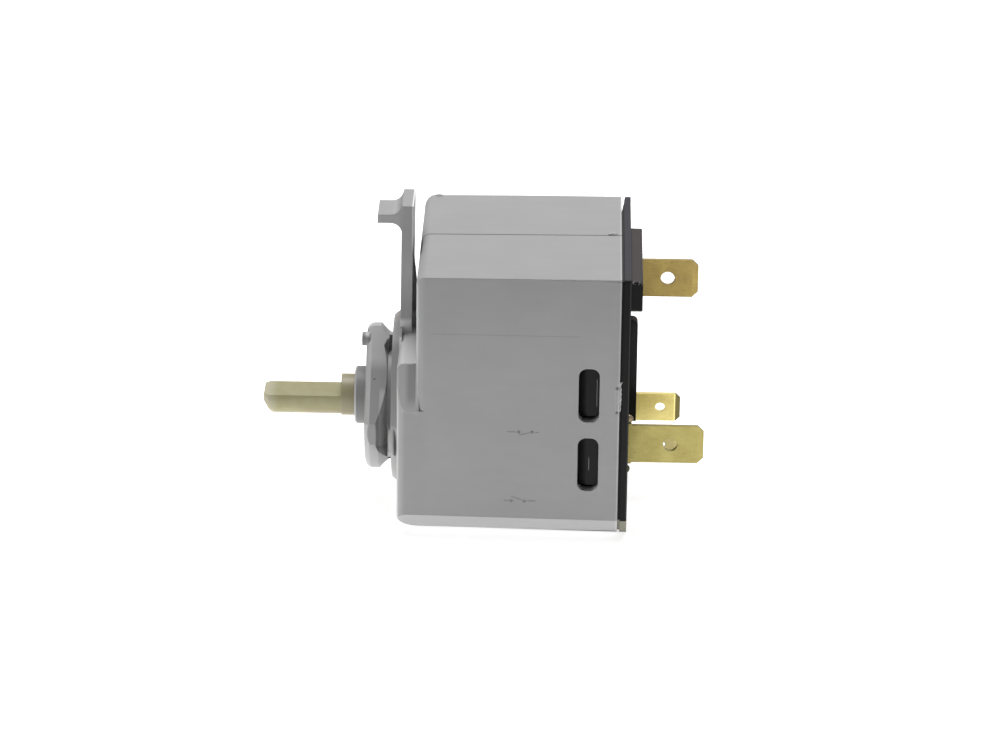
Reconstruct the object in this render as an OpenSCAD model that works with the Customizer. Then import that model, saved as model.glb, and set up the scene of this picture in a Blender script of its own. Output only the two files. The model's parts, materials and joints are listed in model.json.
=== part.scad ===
// Push button start switch for a tumble dryer, with a twist-lock front.
// Origin: the push shaft's axis at the seat that bears on the panel.
// +X runs to the terminals, -Y is the near side, +Z is up. Sizes in millimetres.

/* [Housing] */
// Width over the sides at the rear rim
body_w = 39.2; // [36:0.1:40]
// Upper front face behind the panel seat
body_front_x = 4.3; // [4.2:0.1:5.5]
// Rear rim behind the panel seat
body_rear_x = 36.6; // [36.6:0.2:39]
// Top face above the shaft axis at the rim
body_top_z = 28.1; // [27:0.1:30]
// Bottom face below the shaft axis at the rim
body_bottom_z = 16.4; // [16.2:0.1:18]
// Bevel along both bottom edges
bottom_bevel = 3.3; // [2.5:0.1:4]
// Thickness of the moulded walls
wall = 2.2; // [1.8:0.1:2.4]
// Mould draft of every side in degrees
draft = 0.5; // [0:0.1:0.8]
// Radius of the front corners
corner_r = 1.6; // [1:0.1:2]
// Raised lower front block, distance behind the panel seat
step_front_x = 1.2; // [0.6:0.1:1.4]
// Top of the raised lower front block
step_top_z = 12.5; // [11.5:0.1:13.5]
// How far the top of that block is set in at each side
step_inset = 2.1; // [1:0.1:2.4]

/* [Latch finger] */
// Width of the springy finger
finger_w = 8.3; // [7:0.1:9]
// Thickness of the finger
finger_t = 1.9; // [1.4:0.1:2]
// Front face of the finger at its top
finger_x = 1.4; // [1.2:0.1:1.5]
// Top of the finger above the axis
finger_top_z = 34.2; // [31:0.1:36]
// Reach of its peg in front of the finger
peg_l = 3.9; // [3:0.1:4.5]
// Height of the peg
peg_h = 1.4; // [1.2:0.1:2]
// Width of the peg
peg_w = 7; // [5:0.1:7]

/* [Twist lock] */
// Radius of the lock plate over its ears
lock_r = 11.85; // [11.4:0.05:12.2]
// Front face of the lock plate ahead of the seat
lock_front = 4.4; // [4.4:0.1:5.2]
// Thickness of the plate at its edge
lock_t = 1.9; // [1.6:0.1:2.1]
// Distance of the two flats from the axis
lock_flat = 8; // [7.5:0.1:8.5]
// Turn of the flats about the axis in degrees
lock_turn = 46; // [40:1:50]
// How far the round neck stays inside the two flats
neck_in = 0.1; // [0.1:0.1:0.6]
// Gap between the ears and the seat, for the panel
panel_gap = 0.7; // [0.6:0.1:0.9]
// Radius of the panel seat behind its bevel
seat_r = 14.2; // [14:0.1:14.6]
// Outside radius of the collar
collar_r = 4.7; // [4.5:0.1:5]
// Length of the collar ahead of the lock plate
collar_l = 1.9; // [1.5:0.1:2.4]

/* [Push shaft] */
// Radius of the D shaped end, a quarter inch shaft
shaft_r = 3.175; // [3:0.025:3.2]
// Height of the flat above the axis
flat_z = 0.87; // [0.6:0.01:1.6]
// Tip ahead of the panel seat
tip_x = 21.1; // [18:0.1:24]
// Start of the full round root ahead of the seat
root_x = 8.5; // [8:0.1:9]
// Radius of the round root
root_r = 3.4; // [3.3:0.05:3.6]
// Running clearance of the root in its bore
run_clear = 0.05; // [0.02:0.01:0.1]
// Travel of the shaft when pressed
travel = 3; // [2:0.1:3]

/* [Terminals] */
// Width of the large quick-connect tabs
tab_w = 6.35; // [6.2:0.05:6.5]
// Width of the small quick-connect tabs
small_tab_w = 4.75; // [4.6:0.05:4.8]
// Thickness of every tab
tab_t = 0.8; // [0.7:0.05:0.9]
// Length of the large tabs behind the base plate
tab_l = 12; // [10:0.1:13]
// Length of the small tabs behind the base plate
small_tab_l = 8.8; // [7:0.1:9]

/* [Hidden] */
$fn = 64;
big = 60;

// Housing values that follow from the sizes above
half_w = body_w / 2;
inner_w = body_w - 2 * wall;
bore_r = root_r + run_clear;
boss_r = 6;
boss_end_x = 10.5;
seam_y = 0.7;
seam_w = 0.25;
seam_d = 0.15;
lug_r = 2.2;
nub_r = 1.1;
nub_l = 0.75;
nub_z = 9.8;
step_round = 1.2;
step_slope_z = 4.9;
step_join_z = 5.2;
seat_bevel = 0.9;
seat_bevel_x = 1.2;
finger_lean = 0.25;
finger_thin = 0.05;
finger_rib_t = 1.6;
finger_rib_x = 3.8;

// Lock plate values
land_x = -panel_gap;
rim_back_x = -lock_front + lock_t;
cone_r = 6.4;
neck_r = lock_flat - neck_in;
facet_turn = 10.7;
facet_half = 10;

// Rear base: ledge, plate and the plug inside the rim
ledge_t = 0.4;
ledge_in = 0.3;
plate_t = 1.1;
plate_x = body_rear_x + ledge_t;
base_rear_x = plate_x + plate_t;
plug_l = 2.5;
plug_clear = 0.15;
base_in_x = body_rear_x - plug_l;
pry_x = 0.6;
pry_y = 7;
pry_z = 3;
block_rear_x = base_rear_x + 1.8;
rib_rear_x = base_rear_x + 1.35;

// Latch windows in the sides and the lugs of the base in them
window_x = body_rear_x - 6.5;
window_w = 3.3;
window_h = 9.1;
window_z = [8.45, -3.4];
lug_gap = 0.2;
lug_low_gap = 0.7;
lug_h = window_h - lug_gap - lug_low_gap;
lug_face = 0.9;
arm_t = 1.4;

// Contact train: every x is at rest
foot_t = tab_t;
foot_x = base_in_x - foot_t;
contact_t = 0.8;
fixed_x = foot_x - contact_t;
make_gap = 0.3;
moving_x = fixed_x - travel - make_gap;
bridge_t = 0.8;
bridge_x = moving_x - contact_t - bridge_t;
main_z = 9;
aux_z = -10;
main_y = 9.5;
aux_y = 8;
main_bridge_w = 5;
aux_bridge_w = 4;
main_contact_r = 2;
aux_contact_r = 1.5;

// Contact carrier
carrier_x = boss_end_x + make_gap;
carrier_plate_t = 3;
socket_end_x = 14;
spring_seat_x = 16;
core_r = 6.2;
core_end_x = 22;
spring_bore_r = 4.7;
carrier_half_y = 12.4;
carrier_half_z = 13.2;
wing_half_y = 15.6;
wing_half_z = 2.6;
spring_post_r = 2.7;
spring_post_l = 9;

// Springs: coil radius and wire radius
return_coil_r = 3.7;
return_wire_r = 0.35;
main_coil_r = 2;
main_wire_r = 0.25;
aux_coil_r = 1.6;
aux_wire_r = 0.2;
tower_t = 1.1;
tower_half_y = 3;
bar_t = 1.6;
seat_wall_x = 19;

// Locating holes in the tabs, and their distance from the tab's end
tab_hole_r = 1.15;
near_hole_back = 5.35;
far_hole_back = 5;
small_hole_r = 0.8;
small_hole_back = 3.3;
main_foot_r = 2.6;
aux_foot_r = 2;

// Places of the tabs: [y, z]
main_near = [-11.5, -2.9];
main_far = [11, 17.1];
aux_near = [0, -7.9];
aux_far = [10, -5.3];

// A rectangle from one corner to the other in the drawing plane
module span(x0, y0, x1, y1) {
    translate([x0, y0])
        square([x1 - x0, y1 - y0]);
}

// A block from one corner to the other
module block(x0, x1, y0, y1, z0, z1) {
    translate([x0, y0, z0])
        cube([x1 - x0, y1 - y0, z1 - z0]);
}

// A round bar along x
module bar_x(x0, x1, r) {
    translate([x0, 0, 0])
        rotate([0, 90, 0])
            cylinder(h = x1 - x0, r = r);
}

// Turns a profile drawn as [x, radius] about the x axis
module turn_x() {
    rotate([0, 90, 0])
        rotate([0, 0, 90])
            rotate_extrude($fn = 96)
                rotate([0, 0, 90])
                    mirror([0, 1])
                        children();
}

// Draws [y, z] outlines and gives them a length along x
module along_x(x0, x1) {
    translate([x0, 0, 0])
        rotate([90, 0, 90])
            linear_extrude(height = x1 - x0)
                children();
}

// Draws [x, z] outlines and gives them a width across y
module across_y(w) {
    translate([0, w / 2, 0])
        rotate([90, 0, 0])
            linear_extrude(height = w)
                children();
}

// Tapered outline from x0 to x1 with both front corners rounded.
// The half widths at x1 are a on the upper side and b on the lower side.
module drafted(x0, x1, a, b, ra, rb) {
    fall = (x1 - x0) * tan(draft);
    difference() {
        polygon([[x0, -(b - fall)], [x0, a - fall], [x1, a], [x1, -b]]);
        drafted_corner(x0, a - fall, ra);
        mirror([0, 1])
            drafted_corner(x0, b - fall, rb);
    }
}

// The circle is a touch larger than the corner, so it crosses both sides instead of grazing them
module drafted_corner(x0, h, r) {
    overrun = 0.002;
    cx = x0 + r;
    cy = h + r * tan(draft) - r / cos(draft);
    s = r + 1;
    difference() {
        polygon([
            [x0 - 1, cy], [cx, cy],
            [cx - s * sin(draft), cy + s * cos(draft)],
            [x0 - 1, h + 1]
        ]);
        translate([cx, cy])
            circle(r = r + overrun);
    }
}

// Cross-section of the housing and the base, shrunk by d on every side, bevel c
module section(d, c) {
    w = half_w - d;
    top = body_top_z - d;
    low = -body_bottom_z + d;
    r = 0.5;
    difference() {
        polygon([[-w, low + c], [-w + c, low], [w - c, low], [w, low + c], [w, top], [-w, top]]);
        for (s = [-1, 1])
            difference() {
                translate([s * (w - r / 2 + 0.5), top - r / 2 + 0.5])
                    square(r + 1, center = true);
                translate([s * (w - r), top - r])
                    circle(r = r);
            }
    }
}

// Sides drafted in plan and in side view, drafted bevels along the bottom
module drafted_block(x0, top, rp, rt, rb) {
    difference() {
        intersection() {
            along_x(x0, body_rear_x)
                section(0, 1);
            translate([0, 0, -big / 2])
                linear_extrude(height = big)
                    drafted(x0, body_rear_x, half_w, half_w, rp, rp);
            across_y(big)
                drafted(x0, body_rear_x, top, body_bottom_z, rt, rb);
        }
        for (s = [0, 1])
            mirror([0, s, 0])
                bevel_cut();
    }
}

// What has to go along one bottom edge; the bevel's plane has the draft of both its neighbours
module bevel_cut() {
    reach = (half_w + body_bottom_z - bottom_bevel) * cos(45);
    rotate([45, 0, 0])
        translate([body_rear_x, -reach, 0])
            rotate([0, 0, -atan(tan(draft) / cos(45))])
                block(-big, 5, -10, 0, -big / 2, big / 2);
}

module housing_shell() {
    difference() {
        union() {
            difference() {
                drafted_block(body_front_x, body_top_z, corner_r, corner_r, 1);
                block(0, step_front_x + 12, -big / 2, big / 2, -big, step_join_z);
            }
            step_block();
        }
        cavity();
    }
}

// Lower front block; its sides fall back to the housing's sides
module step_block() {
    x0 = step_front_x;
    difference() {
        intersection() {
            drafted_block(x0, body_top_z, corner_r, corner_r, 3);
            block(x0, 20, -big / 2, big / 2, -big / 2, step_top_z);
        }
        for (s = [-1, 1])
            mirror([0, s > 0 ? 1 : 0, 0])
                translate([0, -half_w + 0.25, step_slope_z])
                    rotate([-atan(step_inset / (step_top_z - step_slope_z)), 0, 0])
                        block(-5, body_front_x + 0.6, -6, 0, 0, 20);
        across_y(big)
            difference() {
                span(x0 - 1, step_top_z - step_round, x0 + step_round, step_top_z + 1);
                translate([x0 + step_round, step_top_z - step_round])
                    circle(r = step_round);
            }
        block(body_front_x + 0.5, 21, -big / 2, big / 2, step_join_z, 20);
    }
}

module cavity() {
    w = inner_w / 2;
    top = body_top_z - wall;
    low = -body_bottom_z + wall;
    c = bottom_bevel - wall * 0.59;
    x0 = body_front_x + 2.4;
    along_x(x0, body_rear_x + 1)
        polygon([[-w, low + c], [-w + c, low], [w - c, low], [w, low + c], [w, top], [-w, top]]);
    difference() {
        block(step_front_x + 2.5, x0 + 1, -w + 2.2, w - 2.2, low + 1.2, step_top_z - 2.2);
        bar_x(0, x0 + 2, boss_r);
    }
}

// Rails that keep the carrier from turning
module guide_rails() {
    for (s = [-1, 1], t = [-1, 1])
        block(body_front_x + 2, body_front_x + 21,
            s > 0 ? 13 : -inner_w / 2 - 0.5, s > 0 ? inner_w / 2 + 0.5 : -13,
            t > 0 ? 3 : -4.5, t > 0 ? 4.5 : -3);
}

module latch_windows() {
    r = 1.3;
    for (z = window_z)
        translate([window_x + window_w / 2, 0, z])
            rotate([90, 0, 0])
                linear_extrude(height = big, center = true)
                    rounded(window_w, window_h, r);
}

// Shallow groove where the two halves of the mould met, along the top and round the front edge
module seam_groove() {
    slope = tan(draft);
    run = body_rear_x - body_front_x - corner_r;
    top_rear = body_top_z - seam_d;
    top_front = top_rear - run * slope;
    cut = (corner_r - seam_d) * (1 - cos(45));
    translate([0, seam_y, 0])
        across_y(seam_w)
            polygon([
                [body_rear_x + 1, body_top_z + 1], [body_front_x - 1, body_top_z + 1],
                [body_front_x - 1, top_front - 6], [body_front_x + seam_d, top_front - 6],
                [body_front_x + seam_d, top_front - corner_r],
                [body_front_x + seam_d + cut, top_front - cut],
                [body_front_x + corner_r, top_front], [body_rear_x + 1, top_rear + slope]
            ]);
}

// Rectangle about the centre with round corners
module rounded(w, h, r) {
    square([w, h - 2 * r], center = true);
    square([w - 2 * r, h], center = true);
    for (x = [-1, 1], y = [-1, 1])
        translate([x * (w / 2 - r), y * (h / 2 - r)])
            circle(r = r);
}

// Finger with its peg, and a stiffening rib behind it that widens towards the root
module latch_finger() {
    x0 = finger_x;
    x1 = finger_x + finger_t;
    peg_top = finger_top_z - 1.7;
    peg_low = peg_top - peg_h;
    root = 1.9;
    across_y(finger_w)
        polygon([
            [x0 - finger_lean, step_top_z - 1], [x0, finger_top_z], [x1, finger_top_z],
            [x1 - finger_lean - finger_thin, step_top_z - 1]
        ]);
    across_y(finger_rib_t)
        polygon([
            [x0 + 0.5, step_top_z - 1], [x0 + 0.5, 25], [x1 - 0.1, 25],
            [finger_rib_x, 18.5], [finger_rib_x, step_top_z - 1]
        ]);
    across_y(peg_w)
        difference() {
            span(x0 - peg_l, peg_low - root, x0 + 0.5, peg_top + root - 0.4);
            span(x0 - peg_l - 1, peg_low - root - 1, x0 - root, peg_low);
            translate([x0 - root, peg_low - root])
                circle(r = root);
            span(x0 - peg_l - 1, peg_top, x0 - root, peg_top + root + 1);
            translate([x0 - root, peg_top + root])
                circle(r = root);
        }
}

// Round neck, cone and plate of the twist lock
module lock_body() {
    f = 1.2;
    difference() {
        union() {
            turn_x()
                difference() {
                    polygon([
                        [-lock_front, 0], [-lock_front, lock_r], [rim_back_x, lock_r],
                        [-0.2, cone_r], [-0.2, 0]
                    ]);
                    difference() {
                        span(-lock_front - 1, lock_r - f, -lock_front + f, lock_r + 1);
                        translate([-lock_front + f, lock_r - f])
                            circle(r = f);
                    }
                }
            for (a = [0, 180])
                rotate([a, 0, 0])
                    cam_ear();
        }
        for (a = [0, 180])
            rotate([a - lock_turn, 0, 0])
                lock_flat_cut();
        for (a = [0, 180])
            rotate([a + facet_turn, 0, 0])
                block(-lock_front - 1, rim_back_x + 1.5, -big, -lock_r * cos(facet_half), -big / 2, big / 2);
    }
}

// One flat of the lock plate, with the softened front edge of its face
module lock_flat_cut() {
    b = 0.9;
    y = lock_flat;
    translate([0, 0, -big / 2])
        linear_extrude(height = big)
            polygon([
                [-lock_front - 1, -big], [-lock_front - 1, -y + b + 1], [-lock_front, -y + b],
                [-lock_front + 0.25, -y + 0.35], [-lock_front + b, -y],
                [land_x + 0.9, -y], [land_x + 0.9, -big]
            ]);
}

// Raised cam on the back of the lower ear: ramp, land and end stop.
// Angles are measured from the near side towards the bottom.
module cam_ear() {
    intersection() {
        turn_x()
            polygon([
                [-lock_front + 1.5, cone_r], [-lock_front + 1.5, lock_r], [-2.1, lock_r],
                [-1.2, lock_r - 1], [land_x, lock_r - 1.4], [0.3, lock_r - 1.55], [0.3, cone_r]
            ]);
        union() {
            cam_wedge(48, 95, land_x);
            cam_wedge(74, 88, 0.3);
            cam_ramp(20, 50, 1);
            cam_ramp(93, 113, -1);
        }
    }
}

// Sector between two angles, from inside the plate to x1
module cam_wedge(a0, a1, x1) {
    r = 20;
    along_x(-lock_front + 1.5, x1)
        polygon([
            [0, 0], [-r * cos(a0), -r * sin(a0)],
            [-1.1 * r * cos((a0 + a1) / 2), -1.1 * r * sin((a0 + a1) / 2)],
            [-r * cos(a1), -r * sin(a1)]
        ]);
}

// Ramp between the plate and the land from one angle to the other: it rises where way is 1
module cam_ramp(a0, a1, way) {
    reach = lock_r * sin((a1 - a0) / 2) * way;
    rotate([(a0 + a1) / 2, 0, 0])
        translate([0, 1 - cone_r, 0])
            rotate([90, 0, 0])
                linear_extrude(height = 12)
                    polygon([
                        [-lock_front + 1.5, reach], [rim_back_x - 0.15, reach],
                        [land_x, -reach], [-lock_front + 1.5, -reach]
                    ]);
}

// Round seat with a bevelled rim; above the front block it is only as thick as the finger's front
module panel_seat() {
    difference() {
        turn_x()
            polygon([
                [0, 0], [0, seat_r - seat_bevel], [seat_bevel_x, seat_r],
                [body_front_x + 0.5, seat_r], [body_front_x + 0.5, 0]
            ]);
        block(finger_x + 0.15, big, -big / 2, big / 2, step_top_z - 0.5, big);
    }
}

// Small round-ended lug on the seat, where the panel's turn stops
module seat_lug() {
    translate([-0.5, -10.2, -4.2])
        rotate([0, 90, 0])
            cylinder(h = 0.8, r = lug_r);
}

module housing() {
    color([0.6, 0.6, 0.6])
        difference() {
            union() {
                housing_shell();
                guide_rails();
                bar_x(0.5, boss_end_x, boss_r);
                panel_seat();
                seat_lug();
                latch_finger();
                lock_body();
                bar_x(-lock_front + 1.5, 0.5, neck_r);
                collar();
                translate([-lock_front - nub_l, 0, nub_z])
                    rotate([0, 90, 0])
                        cylinder(h = nub_l + 0.5, r = nub_r);
            }
            bar_x(-big, boss_end_x + 1, bore_r);
            latch_windows();
            seam_groove();
        }
}

module collar() {
    turn_x()
        polygon([
            [-lock_front - collar_l, 0], [-lock_front - collar_l, collar_r - 0.3],
            [-lock_front - collar_l + 0.3, collar_r], [-lock_front + 0.5, collar_r],
            [-lock_front + 0.5, 0]
        ]);
}

// Rear base with its plug, latch lugs and raised blocks
module rear_base() {
    color([0.13, 0.13, 0.13])
        difference() {
            union() {
                along_x(plate_x, base_rear_x)
                    section(0, bottom_bevel);
                along_x(body_rear_x, plate_x + 0.1)
                    section(ledge_in, bottom_bevel - ledge_in * 0.59);
                along_x(base_in_x, body_rear_x + 0.1)
                    section(wall + plug_clear, bottom_bevel - (wall + plug_clear) * 0.59);
                terminal_blocks();
                latch_lugs();
                bar_x(base_in_x - spring_post_l, base_in_x + 0.1, spring_post_r);
            }
            for (p = [main_near, main_far])
                tab_slot(p, tab_w);
            for (p = [aux_near, aux_far])
                tab_slot(p, small_tab_w);
            pry_notch();
        }
}

// Wedge-shaped notch at the far top corner, where a blade can lift the base out
module pry_notch() {
    translate([0, 0, body_top_z - pry_z])
        linear_extrude(height = pry_z + 1)
            polygon([
                [body_rear_x, half_w - pry_y], [body_rear_x + pry_x * (1 + 1 / pry_y), half_w + 1],
                [body_rear_x, half_w + 1]
            ]);
}

module tab_slot(p, w) {
    g = 0.05;
    block(base_in_x - 1, base_rear_x + 5, p[0] - tab_t / 2 - g, p[0] + tab_t / 2 + g,
        p[1] - w / 2 - g, p[1] + w / 2 + g);
}

// Raised block at the top with softened edges, and an upright rib with a rounded top
module terminal_blocks() {
    x0 = base_rear_x - 0.5;
    y0 = -half_w + 0.3;
    y1 = 5.4;
    z0 = body_top_z - 5.5;
    z1 = body_top_z - 0.3;
    intersection() {
        along_x(x0, block_rear_x)
            translate([(y0 + y1) / 2, (z0 + z1) / 2])
                rounded(y1 - y0, z1 - z0, 0.5);
        across_y(big)
            difference() {
                span(x0, z0 - 1, block_rear_x, z1 + 1);
                round_off(block_rear_x, z1, 0.4);
                translate([0, z0 + z1])
                    mirror([0, 1])
                        round_off(block_rear_x, z1, 0.4);
            }
    }
    translate([0, -3, 0])
        across_y(2)
            difference() {
                span(x0, -2.2, rib_rear_x, 15.4);
                round_off(rib_rear_x, 15.4, 0.9);
            }
}

// What has to go from an [x, z] outline to round its rear top corner
module round_off(x, z, r) {
    difference() {
        span(x - r, z - r, x + 2, z + 2);
        translate([x - r, z - r])
            circle(r = r);
    }
}

// Arms along the side walls with hooked lugs in the windows
module latch_lugs() {
    wi = inner_w / 2 - 0.15;
    z0 = -window_h / 2 + lug_low_gap;
    for (s = [-1, 1], z = window_z)
        mirror([0, s > 0 ? 1 : 0, 0])
            translate([0, 0, z]) {
                block(window_x - 0.6, base_in_x + 0.1, -wi, -wi + arm_t, z0, z0 + lug_h);
                translate([0, 0, z0])
                    linear_extrude(height = lug_h)
                        polygon([
                            [window_x + 0.2, -wi + 0.1], [window_x + 0.2, -half_w + lug_face + 0.5],
                            [window_x + 1.4, -half_w + lug_face],
                            [window_x + window_w, -half_w + lug_face], [window_x + window_w, -wi + 0.1]
                        ]);
            }
}

// D shaped push shaft with a chamfered tip, a ramp under it and a full round root
module push_shaft() {
    chamfer = 0.73;
    ramp = 1.7;
    color([0.68, 0.66, 0.53])
        union() {
            difference() {
                turn_x()
                    polygon([
                        [-tip_x, 0], [-tip_x, shaft_r - chamfer], [-tip_x + chamfer, shaft_r],
                        [-root_x + 0.1, shaft_r], [-root_x + 0.1, 0]
                    ]);
                block(-tip_x - 1, -root_x, -big, big, flat_z, big);
                across_y(big)
                    polygon([
                        [-tip_x - 1, -0.33 + 1.67], [-tip_x + ramp + 0.03, -shaft_r - 0.05],
                        [-tip_x + ramp + 0.03, -shaft_r - 1], [-tip_x - 1, -shaft_r - 1]
                    ]);
            }
            bar_x(-root_x, socket_end_x, root_r);
        }
}

// Slider that carries both contact bridges and the return spring
module contact_carrier() {
    color([0.2, 0.2, 0.22])
        difference() {
            union() {
                along_x(carrier_x, carrier_x + carrier_plate_t)
                    span(-carrier_half_y, -carrier_half_z, carrier_half_y, carrier_half_z);
                along_x(carrier_x, carrier_x + carrier_plate_t)
                    span(-wing_half_y, -wing_half_z, wing_half_y, wing_half_z);
                bar_x(carrier_x, core_end_x, core_r);
                tower(main_z, main_bridge_w);
                tower(aux_z, aux_bridge_w);
            }
            bar_x(carrier_x - 1, socket_end_x, root_r + run_clear);
            bar_x(spring_seat_x, core_end_x + 1, spring_bore_r);
            bridge_window(main_z, main_bridge_w);
            bridge_window(aux_z, aux_bridge_w);
        }
}

// Guide frame around one bridge and its spring
module tower(z, w) {
    h = w / 2 + 0.2 + tower_t;
    block(carrier_x, bridge_x + bridge_t + bar_t, -tower_half_y, tower_half_y, z - h, z + h);
}

module bridge_window(z, w) {
    h = w / 2 + 0.2;
    block(seat_wall_x, bridge_x + bridge_t, -10, 10, z - h, z + h);
}

// Coil spring along x at height z, as one swept ring of points.
// The share of the length gone, t, runs slower near both ends, so the end coils lie almost flat.
module coil(x0, x1, r, wire, turns, z) {
    steps = 20;
    ring = 8;
    n = turns * steps;
    span_x = x1 - x0 - 2 * wire;
    points = [
        for (i = [0 : n], j = [0 : ring - 1])
            let (
                a = 360 * i / steps,
                u = i / n,
                t = u - 0.0152 * sin(360 * u),
                rr = r + wire * cos(360 * j / ring)
            )
            [x0 + wire + span_x * t + wire * sin(360 * j / ring), rr * cos(a), z + rr * sin(a)]
    ];
    faces = concat(
        [[for (j = [0 : ring - 1]) j]],
        [
            for (i = [0 : n - 1], j = [0 : ring - 1])
                let (k = (j + 1) % ring)
                [i * ring + j, (i + 1) * ring + j, (i + 1) * ring + k, i * ring + k]
        ],
        [[for (j = [ring - 1 : -1 : 0]) n * ring + j]]
    );
    polyhedron(points = points, faces = faces, convexity = 10);
}

module return_spring() {
    color([0.7, 0.7, 0.7])
        coil(spring_seat_x, base_in_x, return_coil_r, return_wire_r, 8, 0);
}

module main_spring() {
    color([0.7, 0.7, 0.7])
        coil(seat_wall_x, bridge_x, main_coil_r, main_wire_r, 5, main_z);
}

module aux_spring() {
    color([0.7, 0.7, 0.7])
        coil(seat_wall_x, bridge_x, aux_coil_r, aux_wire_r, 5, aux_z);
}

module bridge(z, reach, w) {
    r = w / 2;
    along_x(bridge_x, bridge_x + bridge_t)
        union() {
            span(-reach, z - r, reach, z + r);
            for (s = [-1, 1])
                translate([s * reach, z])
                    circle(r = r);
        }
}

module main_bridge() {
    color([0.72, 0.45, 0.25])
        bridge(main_z, main_y, main_bridge_w);
}

module aux_bridge() {
    color([0.72, 0.45, 0.25])
        bridge(aux_z, aux_y, aux_bridge_w);
}

// Contact button with a slightly smaller face; dir is +1 when it faces the base
module button(x, y, z, r, dir) {
    translate([x, y, z])
        rotate([0, dir * 90, 0])
            union() {
                cylinder(h = contact_t - 0.3, r = r);
                translate([0, 0, contact_t - 0.3])
                    cylinder(h = 0.3, r1 = r, r2 = r - 0.5);
            }
}

module moving_contact_main_near() {
    color([0.8, 0.8, 0.8])
        button(moving_x - contact_t, -main_y, main_z, main_contact_r, 1);
}

module moving_contact_main_far() {
    color([0.8, 0.8, 0.8])
        button(moving_x - contact_t, main_y, main_z, main_contact_r, 1);
}

module moving_contact_aux_near() {
    color([0.8, 0.8, 0.8])
        button(moving_x - contact_t, -aux_y, aux_z, aux_contact_r, 1);
}

module moving_contact_aux_far() {
    color([0.8, 0.8, 0.8])
        button(moving_x - contact_t, aux_y, aux_z, aux_contact_r, 1);
}

module fixed_contact_main_near() {
    color([0.8, 0.8, 0.8])
        button(foot_x, -main_y, main_z, main_contact_r, -1);
}

module fixed_contact_main_far() {
    color([0.8, 0.8, 0.8])
        button(foot_x, main_y, main_z, main_contact_r, -1);
}

module fixed_contact_aux_near() {
    color([0.8, 0.8, 0.8])
        button(foot_x, -aux_y, aux_z, aux_contact_r, -1);
}

module fixed_contact_aux_far() {
    color([0.8, 0.8, 0.8])
        button(foot_x, aux_y, aux_z, aux_contact_r, -1);
}

// Blade with chamfered corners, a bevelled tip and a locating hole
module blade(p, w, l, hole_back, hole_r) {
    tip = base_rear_x + l;
    c = w * 0.14;
    h = w / 2;
    intersection() {
        difference() {
            translate([0, p[0], p[1]])
                across_y(tab_t)
                    polygon([
                        [base_in_x - foot_t, -h], [tip - 1.1 * c, -h], [tip, -h + c],
                        [tip, h - c], [tip - 1.1 * c, h], [base_in_x - foot_t, h]
                    ]);
            translate([tip - hole_back, p[0], p[1]])
                rotate([90, 0, 0])
                    cylinder(h = 4, r = hole_r, center = true, $fn = 32);
        }
        translate([0, p[0], -big / 2])
            linear_extrude(height = big)
                polygon([
                    [base_in_x - 3, -tab_t / 2], [tip - 1, -tab_t / 2], [tip, -tab_t / 5],
                    [tip, tab_t / 5], [tip - 1, tab_t / 2], [base_in_x - 3, tab_t / 2]
                ]);
    }
}

// Foot of a terminal: flat on the base, from its blade to its contact
module foot(p, w, c, r) {
    s = c[0] > p[0] ? 1 : -1;
    along_x(foot_x, base_in_x)
        union() {
            span(min(p[0], c[0]) - (s > 0 ? tab_t / 2 : 0), p[1] - w / 2,
                max(p[0], c[0]) + (s > 0 ? 0 : tab_t / 2), p[1] + w / 2);
            span(c[0] - r, min(p[1], c[1]), c[0] + r, max(p[1], c[1]));
            translate(c)
                circle(r = r);
        }
}

module terminal_main_near() {
    color([0.78, 0.68, 0.35])
        union() {
            blade(main_near, tab_w, tab_l + 0.2, near_hole_back, tab_hole_r);
            foot(main_near, tab_w, [-main_y, main_z], main_foot_r);
        }
}

module terminal_main_far() {
    color([0.78, 0.68, 0.35])
        union() {
            blade(main_far, tab_w, tab_l - 0.75, far_hole_back, tab_hole_r);
            foot(main_far, tab_w, [main_y, main_z], main_foot_r);
        }
}

module terminal_aux_near() {
    color([0.78, 0.68, 0.35])
        union() {
            blade(aux_near, small_tab_w, small_tab_l, small_hole_back, small_hole_r);
            foot(aux_near, small_tab_w, [-aux_y, aux_z], aux_foot_r);
        }
}

module terminal_aux_far() {
    color([0.78, 0.68, 0.35])
        union() {
            blade(aux_far, small_tab_w, small_tab_l, small_hole_back, small_hole_r);
            foot(aux_far, small_tab_w, [aux_y, aux_z], aux_foot_r);
        }
}

housing();
rear_base();
push_shaft();
contact_carrier();
return_spring();
main_bridge();
main_spring();
moving_contact_main_near();
moving_contact_main_far();
aux_bridge();
aux_spring();
moving_contact_aux_near();
moving_contact_aux_far();
terminal_main_near();
terminal_main_far();
terminal_aux_near();
terminal_aux_far();
fixed_contact_main_near();
fixed_contact_main_far();
fixed_contact_aux_near();
fixed_contact_aux_far();
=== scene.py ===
# %% [markdown]
# # A push start switch, dressed in Blender
# The switch is a grey moulded box with a twist lock and a springy finger in front, a black
# base with brass tabs behind, and a cream push shaft. Its exact solids come from a CAD
# pack, in metres, and stand where they are. This lesson gives them a camera, light,
# finishes and the small details that a mould, a printer and use leave behind.

# %% Load the solids
import json
import math
import random

import bmesh
import bpy
from mathutils import Matrix, Vector


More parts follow.
